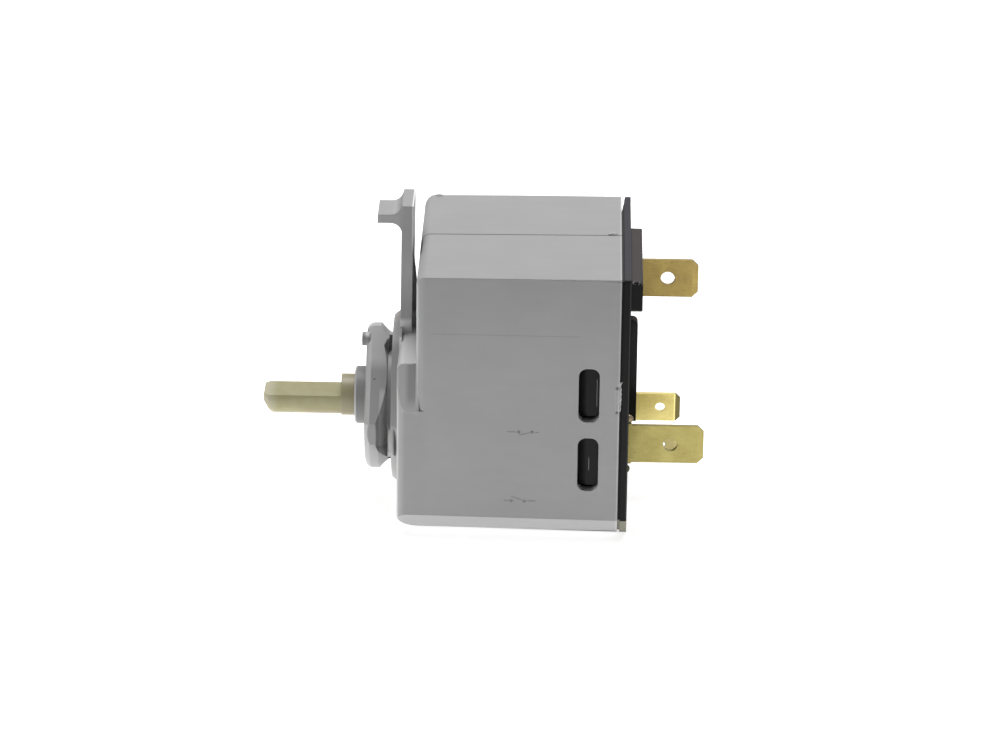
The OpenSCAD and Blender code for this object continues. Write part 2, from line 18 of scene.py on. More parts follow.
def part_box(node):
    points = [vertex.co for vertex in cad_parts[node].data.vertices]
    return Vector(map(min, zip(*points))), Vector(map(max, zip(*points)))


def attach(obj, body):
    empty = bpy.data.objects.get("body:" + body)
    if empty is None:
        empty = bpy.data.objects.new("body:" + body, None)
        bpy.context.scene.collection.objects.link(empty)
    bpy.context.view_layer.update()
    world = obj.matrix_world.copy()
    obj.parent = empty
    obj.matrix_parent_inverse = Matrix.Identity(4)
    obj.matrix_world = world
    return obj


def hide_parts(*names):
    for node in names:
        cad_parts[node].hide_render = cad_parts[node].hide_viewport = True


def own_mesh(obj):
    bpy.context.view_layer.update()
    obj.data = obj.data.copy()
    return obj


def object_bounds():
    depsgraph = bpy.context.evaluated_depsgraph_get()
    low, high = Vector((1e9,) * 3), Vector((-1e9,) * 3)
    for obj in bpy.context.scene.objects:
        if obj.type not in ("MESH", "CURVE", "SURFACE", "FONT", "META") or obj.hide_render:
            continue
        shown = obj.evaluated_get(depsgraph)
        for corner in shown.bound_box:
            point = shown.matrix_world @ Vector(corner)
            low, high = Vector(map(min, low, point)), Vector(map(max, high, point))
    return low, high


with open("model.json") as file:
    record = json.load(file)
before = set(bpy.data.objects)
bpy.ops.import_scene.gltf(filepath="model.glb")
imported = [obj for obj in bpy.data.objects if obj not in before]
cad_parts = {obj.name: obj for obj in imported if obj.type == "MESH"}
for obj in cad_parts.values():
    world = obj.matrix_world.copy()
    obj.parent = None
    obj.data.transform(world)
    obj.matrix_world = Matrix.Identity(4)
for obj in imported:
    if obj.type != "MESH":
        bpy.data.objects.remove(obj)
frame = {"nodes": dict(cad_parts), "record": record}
cad_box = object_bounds()
MM = 0.001
scene = bpy.context.scene

# Planes of the housing and the base that the finishes and small pieces refer to, in millimetres.
NEAR_Y = cad_box[0][1] / MM
RIM_X = 36.6
BLOCK_HEIGHT = 1.8
PLATE_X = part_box("rear_base")[1][0] / MM - BLOCK_HEIGHT
LEDGE_X = 37.0
BODY_FRONT_X = 4.3
STEP_FRONT_X = 1.2
STEP_TOP_Z = 12.5
FINGER_REAR_X = 3.3
COLLAR_X = -4.6
SHAFT_ROOT_X = -8.6
SEAM_Y = 0.7
WINDOW_X = 31.75
print("solids:", len(frame["nodes"]), "CAD box in mm:", [[round(v / MM, 2) for v in c] for c in cad_box])

# %% [markdown]
# ## The camera
# The photograph looks at the near side from 22 degrees above, from about three quarters of
# a metre, with a long lens. A camera could be aimed by eye, but here its turn, tilt and
# distance were worked out from the lengths of edges whose real size is known. The three
# directions of the camera are written as the columns of a matrix, so nothing depends on
# the order of turns.

# %% Place the camera
TURN = 0.020185
LIFT = math.radians(22)
ROLL = 0.01004
DISTANCE = 0.73359
AIM = Vector((0.01587, 0, 0.003811))


def aim_camera():
    back = Vector((math.sin(TURN) * math.cos(LIFT), -math.cos(TURN) * math.cos(LIFT), math.sin(LIFT)))
    right = Vector((math.cos(TURN), math.sin(TURN), 0))
    up = back.cross(right)
    rolled_right = math.cos(ROLL) * right + math.sin(ROLL) * up
    rolled_up = math.cos(ROLL) * up - math.sin(ROLL) * right
    turn = Matrix((rolled_right, rolled_up, back)).transposed()
    return Matrix.Translation(AIM + back * DISTANCE) @ turn.to_4x4()


lens = bpy.data.cameras.new("camera")
lens.lens = 165.07
lens.sensor_width = 36
lens.clip_start = 0.01
camera = bpy.data.objects.new("camera", lens)
scene.collection.objects.link(camera)
camera.matrix_world = aim_camera()
scene.camera = camera
scene.view_settings.view_transform = "Standard"
print("camera stands at", [round(v, 3) for v in camera.matrix_world.translation])

# %% [markdown]
# ## Writing finishes as sums
# A finish is a graph of nodes, and a graph is long to write by hand. Here a small class
# wraps one socket, so that `1 - mask` or `a * b` adds the Math node for it. A second class
# holds a graph and makes every other node through one method: its kind, its settings
# first, then the values or wires of its sockets. A finish is such a graph on a material.
# Places are read in millimetres, because the grain, scratches and stains of a small part
# are easiest to think of in that unit.

# %% The wire and the finish
class Wire:
    """One socket of a finish, with the sums that Python can write."""

    def __init__(self, graph, socket):
        self.graph = graph
        self.socket = socket

    def sum(self, operation, first, second):
        return self.graph.node("ShaderNodeMath", {"operation": operation}, {0: first, 1: second})

    def __add__(self, other):
        return self.sum("ADD", self, other)

    def __radd__(self, other):
        return self.sum("ADD", other, self)

    def __sub__(self, other):
        return self.sum("SUBTRACT", self, other)

    def __rsub__(self, other):
        return self.sum("SUBTRACT", other, self)

    def __mul__(self, other):
        return self.sum("MULTIPLY", self, other)

    def __rmul__(self, other):
        return self.sum("MULTIPLY", other, self)

    def smooth(self, low, high):
        """0 below low, 1 above high, and a soft step between them."""
        return self.graph.node(
            "ShaderNodeMapRange",
            {"interpolation_type": "SMOOTHSTEP"},
            {"Value": self, "From Min": low, "From Max": high},
        )


class Graph:
    """A node tree that every node is added to by one method."""

    def __init__(self, owner):
        owner.use_nodes = True
        self.tree = owner.node_tree

    def node(self, kind, settings=None, sockets=None, out=0):
        made = self.tree.nodes.new(kind)
        for key, value in (settings or {}).items():
            setattr(made, key, value)
        for key, value in (sockets or {}).items():
            self.feed(made.inputs[key], value)
        return Wire(self, made.outputs[out])

    def feed(self, socket, value):
        if isinstance(value, Wire):
            self.tree.links.new(value.socket, socket)
        else:
            socket.default_value = value

    def blend(self, first, second, share):
        """The first colour where share is 0, the second where it is 1."""
        return self.node(
            "ShaderNodeMix", {"data_type": "RGBA"}, {0: share, 6: first, 7: second}, out=2
        )


class Finish(Graph):
    """A material on the Principled shader, with its constant values set on the shader."""

    def __init__(self, name, **constants):
        self.material = bpy.data.materials.new(name)
        super().__init__(self.material)
        self.shader = self.tree.nodes["Principled BSDF"]
        for socket, value in constants.items():
            self.shader.inputs[socket.replace("_", " ")].default_value = value
        place = self.node("ShaderNodeTexCoord", out="Object")
        self.place = self.node(
            "ShaderNodeVectorMath", {"operation": "SCALE"}, {0: place, "Scale": 1 / MM}
        )
        self.x, self.y, self.z = self.parts(self.place)

    def parts(self, vector):
        made = self.node("ShaderNodeSeparateXYZ", None, {0: vector})
        outputs = made.socket.node.outputs
        return [Wire(self, outputs[i]) for i in range(3)]

    def noise(self, size, detail=2.0, stretch=(1, 1, 1)):
        """Cloudy noise from 0 to 1, whose spots are about size millimetres across."""
        place = self.node(
            "ShaderNodeVectorMath", {"operation": "MULTIPLY"}, {0: self.place, 1: stretch}
        )
        return self.node(
            "ShaderNodeTexNoise", None, {"Vector": place, "Scale": 1 / size, "Detail": detail}
        )

    def spot(self, x, y, z, inner, outer):
        """1 within inner millimetres of a point, 0 beyond outer."""
        gone = self.node(
            "ShaderNodeVectorMath", {"operation": "DISTANCE"}, {0: self.place, 1: (x, y, z)}, out="Value"
        )
        return 1 - gone.smooth(inner, outer)

    def band(self, wire, middle, inner, outer):
        """1 within inner millimetres of a plane, 0 beyond outer."""
        gone = self.node("ShaderNodeMath", {"operation": "ABSOLUTE"}, {0: wire - middle})
        return 1 - gone.smooth(inner, outer)

    def facing(self, axis):
        """How far the surface faces along x, y or z: -1 to 1."""
        geometry = self.node("ShaderNodeNewGeometry", out="Normal")
        return self.parts(geometry)[axis]

    def wear(self, colour=None, roughness=None, height=0.0, depth=0.0, edge=0.0):
        """Feeds what changes over the surface. Height is a bump, edge rounds sharp edges."""
        if colour is not None:
            self.feed(self.shader.inputs["Base Color"], colour)
        if roughness is not None:
            self.feed(self.shader.inputs["Roughness"], roughness)
        sockets = {}
        if edge:
            sockets["Normal"] = self.node("ShaderNodeBevel", {"samples": 6}, {"Radius": edge * MM})
        sockets["Height"] = height
        sockets["Distance"] = depth * MM
        sockets["Strength"] = 1.0
        bump = self.node("ShaderNodeBump", None, sockets)
        self.feed(self.shader.inputs["Normal"], bump)
        return self.material


def grey(value):
    return (value, value, value, 1)


print("finish tools ready")

# %% [markdown]
# ## Grey glass-filled nylon
# The housing is one moulding of grey nylon. Close up it is not one grey: the melt leaves
# cloudy flow marks, the skin has a fine grain, and handling leaves faint darker spots. A
# picture texture could hold all that, but it would fix one view and one scale. Noise that
# is read from the place in millimetres stays right from every side, so the clouds, the
# grain and each stain are written where they are on the real part.
#
# Many places also carry painted light and shade in their colour: painted light behind and
# under the lock, on its slopes and tops, in the gap under the ear, on the window floors,
# the step top and the front edges, and painted shade on the lock's sides, the collar, the
# inset and the seat rim. Each function below paints one area. A mask, a product of soft
# steps along x, y, z or the facing, says where, and a blend says how much paler or darker.

# %% Tones of the lock and the front block
def lock_tones(f, colour, lock, near):
    """The twist lock and the seat: painted shade on the near sides and the collar, painted light on the
    slopes, tops, undersides and low back faces and in the gap under the ear, and a thin darker line along
    the box side.
    """
    body_line = f.band(f.z, 18.42, 0.04, 0.12) * near * (1 - f.x.smooth(30, 30.4)) * f.x.smooth(6, 7)
    below_finger = 1 - f.z.smooth(13, 14)
    # Painted shade on the near faces of the lock below the finger.
    ear_side_shade = (0 - f.facing(1)).smooth(0.5, 0.7) * lock * below_finger
    colour = f.blend(colour, grey(0.275), ear_side_shade * 0.8)
    # Painted light on the lower near slopes of the lock, against the shadow of the stop.
    ramp_light = f.band(f.x, -1.0, 0.9, 1.1) * (1 - near) * (1 - f.z.smooth(6, 7.5)) * (1 - f.y.smooth(-8, -7))
    colour = f.blend(colour, grey(0.5), ramp_light * 0.7)
    colour = f.blend(colour, grey(0.25), body_line * 0.5)
    # Painted shade: the collar is darkened.
    collar = 1 - f.x.smooth(COLLAR_X - 0.1, COLLAR_X + 0.1)
    colour = f.blend(colour, grey(0.24), collar * 0.8)
    forward = 0 - f.facing(0)
    # Painted light on the lock's slopes that face forward.
    slope_light = forward.smooth(0.15, 0.4) * (1 - forward.smooth(0.8, 0.92)) * lock
    # Painted light from below on the lock's undersides.
    below = (0 - f.facing(2)).smooth(0.25, 0.5) * (1 - collar) * lock
    colour = f.blend(colour, grey(0.5), slope_light * 0.7)
    colour = f.blend(colour, grey(0.44), below * 0.7)
    # Painted light on the lock's back faces low down, which lie in shade.
    behind = f.facing(0).smooth(0.2, 0.5) * lock * (1 - collar)
    colour = f.blend(colour, grey(0.62), behind * (1 - f.z.smooth(-7, -5)) * 0.8)
    # Painted light in the shaded gap between the upper ear and the seat.
    pocket_light = f.band(f.x, -0.35, 0.7, 0.9) * f.z.smooth(7.5, 9) * (1 - f.y.smooth(-3, -1))
    pocket_light = pocket_light * (1 - f.z.smooth(12.3, 12.6)) * (1 - forward.smooth(0.1, 0.3))
    colour = f.blend(colour, grey(1.0), pocket_light * (1 - f.facing(2).smooth(0.5, 0.8)))
    # Painted light on the lock's upward faces.
    ear_top_light = f.facing(2).smooth(0.4, 0.8) * lock * (1 - f.z.smooth(14, 15)) * f.z.smooth(6, 8)
    return f.blend(colour, grey(0.62), ear_top_light * (1 - collar) * 0.7)


def block_tones(f, colour):
    """The lower front block and the windows: painted light on the window floors, the step top and the front
    edges, painted light and shade on the inset and painted shade on the seat rim.
    """
    # Painted light on the upward floors of the windows, which lie in shade.
    floors = f.facing(2).smooth(0.4, 0.8) * f.band(f.x, WINDOW_X, 1.7, 2.0)
    floors = floors * (1 - f.y.smooth(NEAR_Y + 2.6, NEAR_Y + 2.8))
    colour = f.blend(colour, grey(0.9), floors * (1 - f.z.smooth(6, 7)) * 0.9)
    # Painted light on the top of the step, which lies in the shadow of the finger and the box.
    step_top = f.facing(2).smooth(0.5, 0.9) * (1 - f.z.smooth(12.6, 12.8)) * f.z.smooth(10.9, 11.3)
    colour = f.blend(colour, grey(0.7), step_top * f.x.smooth(0.9, STEP_FRONT_X) * 0.8)
    # Painted shade on the near-facing bevel of the seat rim.
    bevel = f.band(f.x, 0.52, 0.6, 0.7) * (0 - f.facing(1)).smooth(0.3, 0.5)
    bevel = bevel * f.z.smooth(-0.6, 0.4) * (1 - f.z.smooth(11.9, STEP_TOP_Z))
    colour = f.blend(colour, grey(0.2), bevel * 0.85)
    near_strip = 1 - f.y.smooth(NEAR_Y + 2.6, NEAR_Y + 3.6)
    # Painted light and shade on the inset: paler at its front, darker towards the box front and upwards.
    front = (1 - f.x.smooth(BODY_FRONT_X - 0.08, BODY_FRONT_X)) * (0 - f.facing(1)).smooth(0.8, 0.9)
    front = front * near_strip * f.z.smooth(4.7, 5.3) * (1 - f.z.smooth(12.4, 12.6))
    front = front * f.x.smooth(STEP_FRONT_X - 0.05, STEP_FRONT_X)
    inset = f.blend(grey(0.45), grey(0.28), f.x.smooth(2.3, 3.3) * f.z.smooth(5.2, 7.6))
    colour = f.blend(colour, inset, front * 0.9)
    # Painted highlight along the front edges of the step and of the box.
    step_edge = f.band(f.x, STEP_FRONT_X + 0.12, 0.1, 0.25)
    body_edge = f.band(f.x, BODY_FRONT_X + 0.12, 0.12, 0.3) * f.z.smooth(4, 7)
    edges = (step_edge + body_edge) * near_strip * (1 - f.z.smooth(26, 27))
    return f.blend(colour, grey(0.62), edges * 0.6)


print("tones ready: the lock and the block")

# %% [markdown]
# ## The finger and the edges
# The latch finger stands free, and it gets painted light: its top, front and foot are painted
# paler and its rear edge carries a painted highlight. The rear rim of the box is torn where the
# flash came off and carries a painted highlight along its edge. The seam is a shallow groove,
# painted a shade paler against the shade in it, and a painted shadow darkens the top front
# edge by the finger. The rim needs streaks and grain in its masks, or it would look ruled with a pen.

# %% Tones of the finger and the edges
def finger_tones(f, colour, near):
    """The latch finger: painted light towards its top, at its front and at its foot, with a painted
    highlight on its rear edge.
    """
    # Painted light on the near face of the finger, towards its top and its front.
    finger = (1 - f.x.smooth(3.0, 3.1)) * f.z.smooth(16, 24)
    colour = f.blend(colour, grey(0.45), finger * near * 0.7)
    colour = f.blend(colour, grey(0.48), finger * near * (1 - f.x.smooth(0.6, 1.4)) * 0.7)
    # Painted light at the foot of the finger, which lies in its own shadow.
    foot = (1 - f.x.smooth(3.6, 3.8)) * f.z.smooth(12.3, STEP_TOP_Z) * (1 - f.z.smooth(14.4, 15.4))
    colour = f.blend(colour, grey(0.8), foot * near * 0.8)
    # Painted highlight on the rear edge of the finger near its top.
    finger_edge_highlight = f.band(f.x, FINGER_REAR_X, 0.2, 0.3) * f.z.smooth(25.5, 28)
    return f.blend(colour, grey(0.95), finger_edge_highlight * 0.9)


def edge_tones(f, colour, near, streaks, grain):
    """The seam on top painted paler against the shade in its groove, the torn rear rim with a painted
    highlight along its edge, and a painted shadow at the top front edge by the finger.
    """
    # The seam is painted paler to offset the shade in its groove.
    seam = f.band(f.y, SEAM_Y, 0.1, 0.16) * f.z.smooth(26.5, 27.0)
    seam = seam * f.x.smooth(BODY_FRONT_X, BODY_FRONT_X + 0.3) * (1 - f.x.smooth(34.0, 34.6))
    colour = f.blend(colour, grey(0.55), seam * 0.8)
    torn = f.band(f.z, 8.0, 2.0, 2.6) * near
    # Paler rear rim: along its whole edge a painted highlight, and in the torn zone the paler, grainy skin
    # where the flash came off.
    rim = f.x.smooth(RIM_X - 0.3, RIM_X - 0.18) * (0.4 + streaks * 0.6)
    rim = rim + f.band(f.x, RIM_X - 0.45, 0.1, 0.5) * torn * grain * 0.4
    colour = f.blend(colour, grey(0.64), rim * 0.65)
    tear = f.band(f.x, RIM_X - 0.4, 0.03, 0.09) * torn * streaks.smooth(0.45, 0.6)
    colour = f.blend(colour, grey(0.16), tear * 0.5)
    # Painted shadow: a near-black wedge along the top front edge of the box beside the finger.
    gap_shadow = f.band(f.y, -3.2, 2.6, 4.0) * f.z.smooth(25.6, 26.4)
    gap_shadow = gap_shadow * (1 - f.x.smooth(4.55, 4.8)) * f.x.smooth(3.7, 3.9)
    return f.blend(colour, grey(0.03), gap_shadow * 0.9)


print("tones ready: the finger, the seam and the rim")

# %% [markdown]
# ## Stains, pits and the finish itself
# Two small brown stains and a few pits are spots round a point, and the pits are painted near
# black, a painted shade inside them. The finish starts from the cloudy grey with painted shade
# on the lock and the near side, adds the painted light and shade of each place, then the spots,
# and cuts the pits into the bump as well.

# %% The finish of the housing
TAN_SPOTS = [((0.45, -0.1, 13.65), 0.25, 0.6), ((0.7, 2.3, 13.5), 0.2, 0.6)]
PITS = [
    ((-2.9, -6.1, 5.2), 0.1, 0.22),
    ((-3.15, 0.3, 11.85), 0.12, 0.3),
    ((RIM_X - 0.4, NEAR_Y, 9.8), 0.15, 0.42),
    ((RIM_X - 0.4, NEAR_Y, 5.65), 0.12, 0.34),
]


def grey_nylon():
    f = Finish("grey_nylon", IOR=1.5, Specular_IOR_Level=0.45)
    clouds = f.noise(7.0, 3.0)
    streaks = f.noise(1.6, 4.0, stretch=(0.25, 1, 1))
    grain = f.noise(0.16, 2.0)
    lock = 1 - f.x.smooth(-0.6, 0.9)
    near = (0 - f.facing(1)).smooth(0.9, 0.97)
    box_side = near * (1 - lock)
    shade = (clouds - 0.5) * 0.3 + (streaks - 0.5) * 0.22 + (grain - 0.5) * 0.08
    # Painted shade: the lock is darkened, and so is the near side of the box towards its bottom and its
    # front.
    shade = shade - lock * (1 - f.z.smooth(20, 22)) * 0.55
    shade = shade - box_side * (1 - f.z.smooth(2, STEP_TOP_Z - 0.5)) * 0.2
    shade = shade - box_side * (1 - f.x.smooth(4.5, 7)) * 0.1
    colour = f.blend(grey(0.40), grey(0.315), (0.5 - shade).smooth(0.0, 1.0))
    colour = lock_tones(f, colour, lock, near)
    colour = block_tones(f, colour)
    colour = finger_tones(f, colour, near)
    colour = edge_tones(f, colour, near, streaks, grain)
    tan = sum(f.spot(*place, inner, outer) for place, inner, outer in TAN_SPOTS)
    colour = f.blend(colour, (0.36, 0.25, 0.14, 1), tan * 0.6)
    # The pits are painted near black: painted shade inside them.
    pit = sum(f.spot(*place, inner, outer) for place, inner, outer in PITS)
    colour = f.blend(colour, grey(0.05), pit * 0.8)
    height = grain * 0.5 + streaks * 0.5 - pit * 3
    roughness = 0.47 + (clouds - 0.5) * 0.12 + (grain - 0.5) * 0.1
    return f.wear(colour, roughness, height, depth=0.012, edge=0.18)


print("stains:", len(TAN_SPOTS), "pits:", len(PITS))

# %% [markdown]
# ## Black base
# The base is a harder black plastic with a slight sheen. Its side looks almost black, yet its
# top looks grey: partly dust that settles on what faces up, partly painted sheen. That paler
# top is a mask of how far the surface faces up, broken by noise, which mixes a paler colour in
# and roughens it. More painted light lies on the bevel facing down, on highlight lines in the
# windows, along the plate's rear edge and on the block's top edge.

# %% The black plastic
def black_phenolic(name):
    f = Finish(name, IOR=1.5, Specular_IOR_Level=0.14)
    clouds = f.noise(3.0, 3.0)
    grain = f.noise(0.12, 2.0)
    # Paler top: partly dust on what faces up, partly painted sheen. It stops short of the ledge, where the
    # gap under the housing rim is left black for its shadow.
    dust_and_sheen = f.facing(2).smooth(0.35, 0.95) * (0.65 + clouds * 0.5)
    dust_and_sheen = dust_and_sheen * f.x.smooth(LEDGE_X - 0.05, LEDGE_X + 0.05)
    on_block = f.x.smooth(PLATE_X - 0.2, PLATE_X + 0.3)
    pale_top_tone = f.blend((0.058, 0.057, 0.067, 1), (0.074, 0.064, 0.063, 1), on_block)
    colour = f.blend(grey(0.007), pale_top_tone, dust_and_sheen * 0.8)
    # Painted light from below on the faces that turn down towards the near side.
    underside_light = (0 - f.facing(2)).smooth(0.4, 0.7) * (0 - f.facing(1)).smooth(0.3, 0.5)
    colour = f.blend(colour, (0.22, 0.21, 0.15, 1), underside_light * (0.6 + clouds * 0.4))
    # Painted highlight lines on the lugs seen through the windows.
    lug_highlight = f.band(f.x, WINDOW_X + 1.25, 0.03, 0.08) * f.band(f.z, 8.6, 1.9, 2.6)
    lug_highlight = lug_highlight + f.band(f.x, WINDOW_X + 0.15, 0.03, 0.08) * f.band(f.z, -3.6, 0.7, 1.4)
    near = (0 - f.facing(1)).smooth(0.9, 0.97)
    near_strip = 1 - f.y.smooth(NEAR_Y + 2.1, NEAR_Y + 2.6)
    colour = f.blend(colour, grey(0.2), lug_highlight * near * near_strip)
    # Painted highlight: a paler line along the rear edge of the plate on the near side.
    plate_edge_highlight = f.band(f.x, PLATE_X - 0.1, 0.06, 0.16)
    colour = f.blend(colour, grey(0.05), plate_edge_highlight * near * 0.8)
    # Painted highlight: pale spots along the top edge of the block on the near side.
    block_glint = f.band(f.z, 27.5, 0.12, 0.4) * f.x.smooth(PLATE_X, PLATE_X + 0.2)
    block_glint = block_glint * (1 - f.y.smooth(NEAR_Y + 0.5, NEAR_Y + 0.7))
    colour = f.blend(colour, grey(0.3), block_glint * f.noise(0.35, 2.0).smooth(0.55, 0.65))
    rib = f.x.smooth(PLATE_X + 0.2, PLATE_X + 0.4) * near * (1 - f.z.smooth(14, 15)) * f.y.smooth(-9, -8)
    colour = f.blend(colour, grey(0.03), rib * 0.6)
    roughness = 0.34 + dust_and_sheen * 0.3 + (grain - 0.5) * 0.12
    return f.wear(colour, roughness, grain * 0.4 + clouds * 0.6, depth=0.014, edge=0.14)


# %% [markdown]
# ## Natural nylon
# The push shaft is natural nylon, a cream plastic that light enters a little. Its tip looks
# paler, and a brownish tinge runs along its lower half near the collar. Some light is let
# into the surface with a constant subsurface value, and the tinge is a soft band with noise.

# %% The cream nylon
def cream_nylon():
    f = Finish(
        "cream_nylon",
        IOR=1.53,
        Subsurface_Weight=0.35,
        Subsurface_Radius=(0.0016, 0.0012, 0.0006),
        Subsurface_Scale=1.0,
    )
    clouds = f.noise(2.4, 3.0)
    grain = f.noise(0.14, 2.0)
    pale = 1 - f.x.smooth(-20.6, -18.6)
    root = f.x.smooth(SHAFT_ROOT_X - 0.3, SHAFT_ROOT_X + 0.3)
    colour = f.blend((0.318, 0.296, 0.140, 1), (0.356, 0.334, 0.183, 1), clouds.smooth(0.3, 0.7))
    colour = f.blend(colour, (0.50, 0.475, 0.345, 1), pale * 0.75)
    colour = f.blend(colour, (0.315, 0.288, 0.185, 1), root * 0.7)
    tinge = f.band(f.z, -2.4, 0.5, 1.6) * f.x.smooth(-17.5, -13) * (0.4 + clouds)
    colour = f.blend(colour, (0.29, 0.23, 0.145, 1), tinge.smooth(0.2, 1.0) * 0.45)
    roughness = 0.42 + (clouds - 0.5) * 0.15 + (grain - 0.5) * 0.1
    return f.wear(colour, roughness, grain * 0.5 + clouds * 0.5, depth=0.012, edge=0.4)


# %% [markdown]
# ## Metals
# The tabs are stamped from sheet brass, drawn through rolls along their length, so they
# carry fine lines that way. They have tarnished in blotches, which are browner and duller.
# The springs, bridges and contact buttons are inside, in steel, copper and silver; they get
# the same treatment with their own colours, so that the model is complete when opened.

# %% The metals
COINED_SHARE = 0.2
ALONG_X = (0.06, 1, 1)
ALONG_Y = (1, 0.06, 1)
NO_LINES = (1, 1, 1)


def drawn_metal(name, bright, dull, lines, base_roughness, tip=None):
    """lines stretches the grain; from x = tip on, the metal is coined and duller."""
    f = Finish(name, Metallic=1.0)
    blotch = f.noise(2.6, 5.0)
    speck = f.noise(0.35, 3.0)
    drawn = f.noise(0.1, 3.0, stretch=lines)
    tarnish = (blotch * 0.35 + speck * 0.3 + drawn * 0.35).smooth(0.35, 0.75)
    colour = f.blend(bright, dull, tarnish)
    if tip:
        coined = [c * COINED_SHARE for c in dull[:3]] + [1]
        colour = f.blend(colour, coined, f.x.smooth(tip, tip + 0.1))
    roughness = base_roughness + tarnish * 0.16 + (drawn - 0.5) * 0.18
    return f.wear(colour, roughness, drawn * 0.7 + speck * 0.3, depth=0.006, edge=0.07)


FINISHES = {
    "grey_nylon": grey_nylon(),
    "black_phenolic": black_phenolic("black_phenolic"),
    "cream_nylon": cream_nylon(),
    "carrier_plastic": black_phenolic("carrier_plastic"),
    "brass": drawn_metal("brass", (0.37, 0.322, 0.12, 1), (0.3, 0.25, 0.085, 1), ALONG_X, 0.38),
    "spring_steel": drawn_metal("spring_steel", grey(0.62), grey(0.5), NO_LINES, 0.25),
    "copper_strip": drawn_metal(
        "copper_strip", (0.78, 0.42, 0.25, 1), (0.5, 0.25, 0.14, 1), ALONG_Y, 0.3
    ),
    "contact_silver": drawn_metal("contact_silver", grey(0.82), grey(0.6), NO_LINES, 0.22),
}
SMALL_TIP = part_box("terminal_aux_far")[1][0] / MM - 0.85
# Painted light and shade: the two small tabs get paler copies of the brass and the far main tab a darker
# one, for the light that falls on each.
LIT_BRASS_AUX_FAR = drawn_metal(
    "brass_painted_lit_aux_far", (0.88, 0.77, 0.32, 1), (0.74, 0.62, 0.24, 1), ALONG_X, 0.36, tip=SMALL_TIP
)
SHADED_BRASS_MAIN_FAR = drawn_metal("brass_painted_shade_main_far", (0.38, 0.29, 0.095, 1), (0.31, 0.215, 0.085, 1), ALONG_X, 0.36)
LIT_BRASS_AUX_NEAR = drawn_metal("brass_painted_lit_aux_near", (0.4, 0.34, 0.15, 1), (0.33, 0.27, 0.11, 1), ALONG_X, 0.4)
LIT_AND_SHADED_TABS = {
    "terminal_aux_near": LIT_BRASS_AUX_NEAR,
    "terminal_aux_far": LIT_BRASS_AUX_FAR,
    "terminal_main_far": SHADED_BRASS_MAIN_FAR,
}
slot_of = {part["node"]: part["material_slot"] for part in frame["record"]["subparts"]}
for name, node in frame["nodes"].items():
    node.data.materials.clear()
    node.data.materials.append(LIT_AND_SHADED_TABS.get(name, FINISHES[slot_of[name]]))
print("finished", len(frame["nodes"]), "solids;", len(LIT_AND_SHADED_TABS), "tabs have a brass of their own")

# %% [markdown]
# ## Flash and curls of the mould
# Where two mould halves meet, a little melt creeps out and hardens into flash: a thin wavy
# fin along the near rear rim, torn at both ends into curls, and one curl on the top seam. A
# bump could only shade them, and they break the outline, so they are meshes. Every one is a
# tapered thread along a short path: rings of points, each turned square to the path.

# %% Threads
def make_piece(name, bm, finish):
    bmesh.ops.recalc_face_normals(bm, faces=bm.faces)
    mesh = bpy.data.meshes.new(name)
    bm.to_mesh(mesh)
    bm.free()
    mesh.materials.append(finish)
    made = bpy.data.objects.new(name, mesh)
    scene.collection.objects.link(made)
    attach(made, "switch_body")
    print("made", name, "with", len(mesh.polygons), "faces")
    return made


def thread_mesh(path, radii, flatten=1.0, sides=8):
    """A tapered tube along points in millimetres; flatten squeezes it towards the wall."""
    bm = bmesh.new()
    points = [Vector(p) for p in path]
    rings = []
    for i, (point, radius) in enumerate(zip(points, radii)):
        along = (points[min(i + 1, len(points) - 1)] - points[max(i - 1, 0)]).normalized()
        side = along.cross(Vector((0, 1, 0.1))).normalized()
        out = side.cross(along)
        ring = []
        for k in range(sides):
            turn = math.tau * k / sides
            offset = side * math.cos(turn) * radius + out * math.sin(turn) * radius * flatten
            ring.append(bm.verts.new((point + offset) * MM))
        rings.append(ring)
    for first, second in zip(rings, rings[1:]):
        for k in range(sides):
            nxt = (k + 1) % sides
            bm.faces.new((first[k], first[nxt], second[nxt], second[k]))
    bm.faces.new(rings[0][::-1])
    bm.faces.new(rings[-1])
    return bm


def pale_flash():
    f = Finish("pale_flash", IOR=1.5, Specular_IOR_Level=0.4)
    clouds = f.noise(0.5, 3.0)
    colour = f.blend(grey(0.55), grey(0.78), clouds.smooth(0.35, 0.65))
    return f.wear(colour, 0.4 + clouds * 0.2, clouds, depth=0.02)


FLASH = pale_flash()
chance = random.Random(7)

# %% Flash along the near rim, and the curls
FIN_STEPS, FIN_LOW_Z, FIN_HEIGHT = 26, 6.0, 4.5
fin = []
for i in range(FIN_STEPS + 1):
    fin_x = RIM_X + 0.13 + 0.04 * math.sin(i * 1.3) + chance.uniform(-0.02, 0.02)
    fin.append((fin_x, NEAR_Y + 0.15, FIN_LOW_Z + FIN_HEIGHT * i / FIN_STEPS))
fin_radii = []
for i in range(FIN_STEPS + 1):
    fin_radii.append(0.05 + 0.08 * math.sin(math.pi * i / FIN_STEPS) + chance.uniform(0, 0.02))
make_piece("rim_flash", thread_mesh(fin, fin_radii, flatten=0.6), FLASH)

